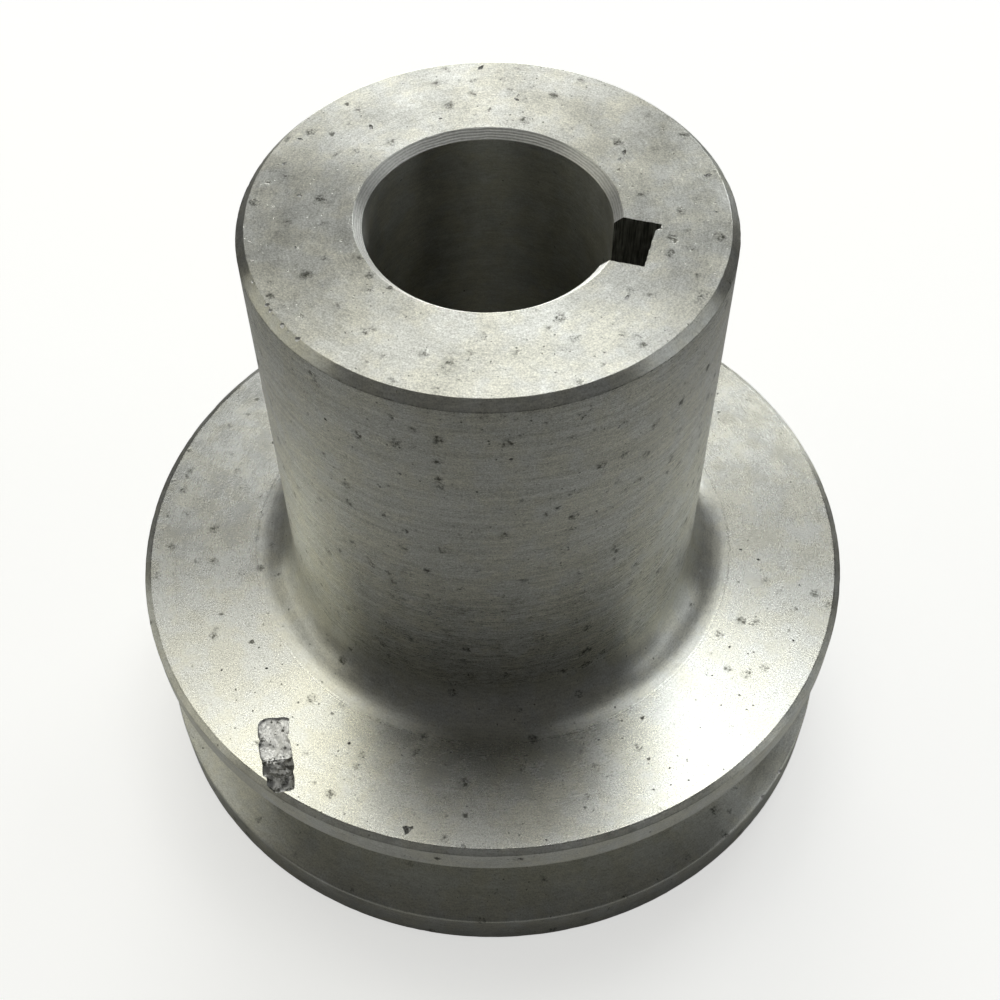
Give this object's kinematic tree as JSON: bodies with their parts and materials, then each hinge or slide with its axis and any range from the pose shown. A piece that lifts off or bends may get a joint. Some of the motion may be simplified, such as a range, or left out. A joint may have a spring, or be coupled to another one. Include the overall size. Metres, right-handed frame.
{
  "type": "v belt pulley",
  "caption": "Single-groove V-belt pulley turned in one piece with a long plain hub, keyed through bore and set screws in the groove floor.",
  "frame": {"origin": "on the bore's axis at the sheave's flat bottom face, the end opposite the hub", "axes": "+Z along the bore towards the hub's end, +X through the middle of the keyway and the key set screw, +Y through the shaft set screw"},
  "size_m": [0.0902, 0.0902, 0.0794],
  "materials": {
    "turned_aluminium": "as turned, satin, with fine circular tool marks and small pits",
    "black_oxide_steel": "black oxide, semi-matt"
  },
  "bodies": {
    "pulley": {"pulley_body": "turned_aluminium"},
    "key_screw": {"key_set_screw": "black_oxide_steel"},
    "shaft_screw": {"shaft_set_screw": "black_oxide_steel"}
  },
  "joints": [
    {"name": "key_screw_travel", "type": "slide", "parent": "pulley", "child": "key_screw", "axis": [-1, 0, 0], "range_m": [-0.00406, 0.0019]},
    {"name": "shaft_screw_travel", "type": "slide", "parent": "pulley", "child": "shaft_screw", "axis": [0, -1, 0], "range_m": [-0.00488, 0.0008]}
  ]
}
